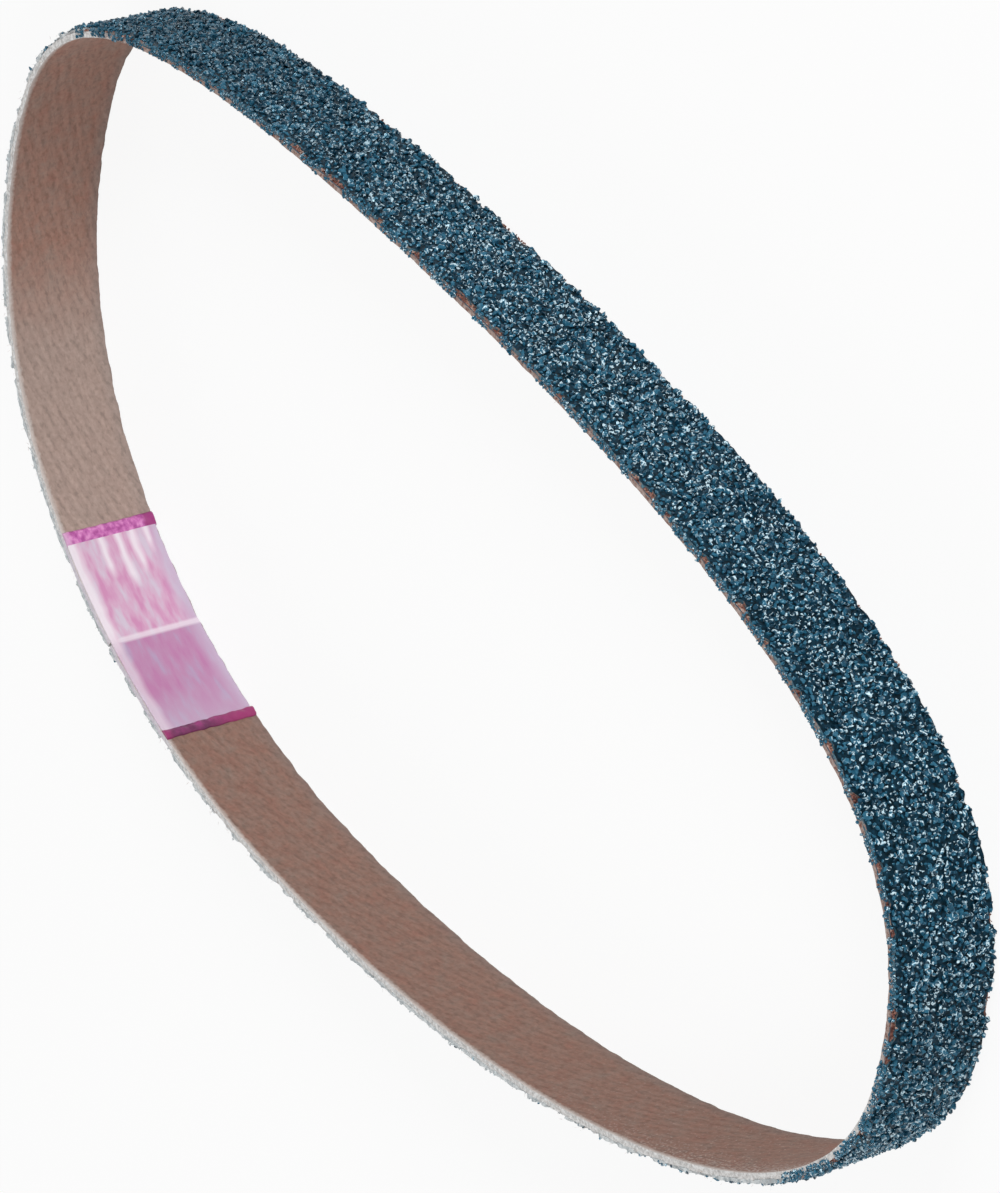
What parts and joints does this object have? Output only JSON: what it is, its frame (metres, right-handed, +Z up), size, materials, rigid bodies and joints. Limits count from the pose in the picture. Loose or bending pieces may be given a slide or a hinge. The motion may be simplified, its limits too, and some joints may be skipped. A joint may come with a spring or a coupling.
{
  "type": "sanding belt",
  "caption": "Narrow cloth-backed sanding belt, 10 mm wide and 330 mm round, coarse blue grains outside and a pink film splice inside, lying on its edge as a slack loop.",
  "frame": {"origin": "centre of the loop's bounding box, on the surface that the belt's lower edge rests on", "axes": "+X along the loop's long way, +Y across it, away from the straighter side, +Z up across the belt's width"},
  "size_m": [0.134, 0.0702, 0.01],
  "materials": {
    "cloth": "resin-treated twill, matte",
    "grains": "coarse abrasive grains in resin, rough",
    "film": "translucent film, satin",
    "pale_glue": "set adhesive, satin",
    "dark_glue": "set adhesive, satin"
  },
  "bodies": {
    "root": {"cloth_backing": "cloth", "abrasive_coat": "grains", "splice_tape": "film", "glue_line_pale": "pale_glue", "glue_line_dark": "dark_glue"}
  },
  "joints": []
}
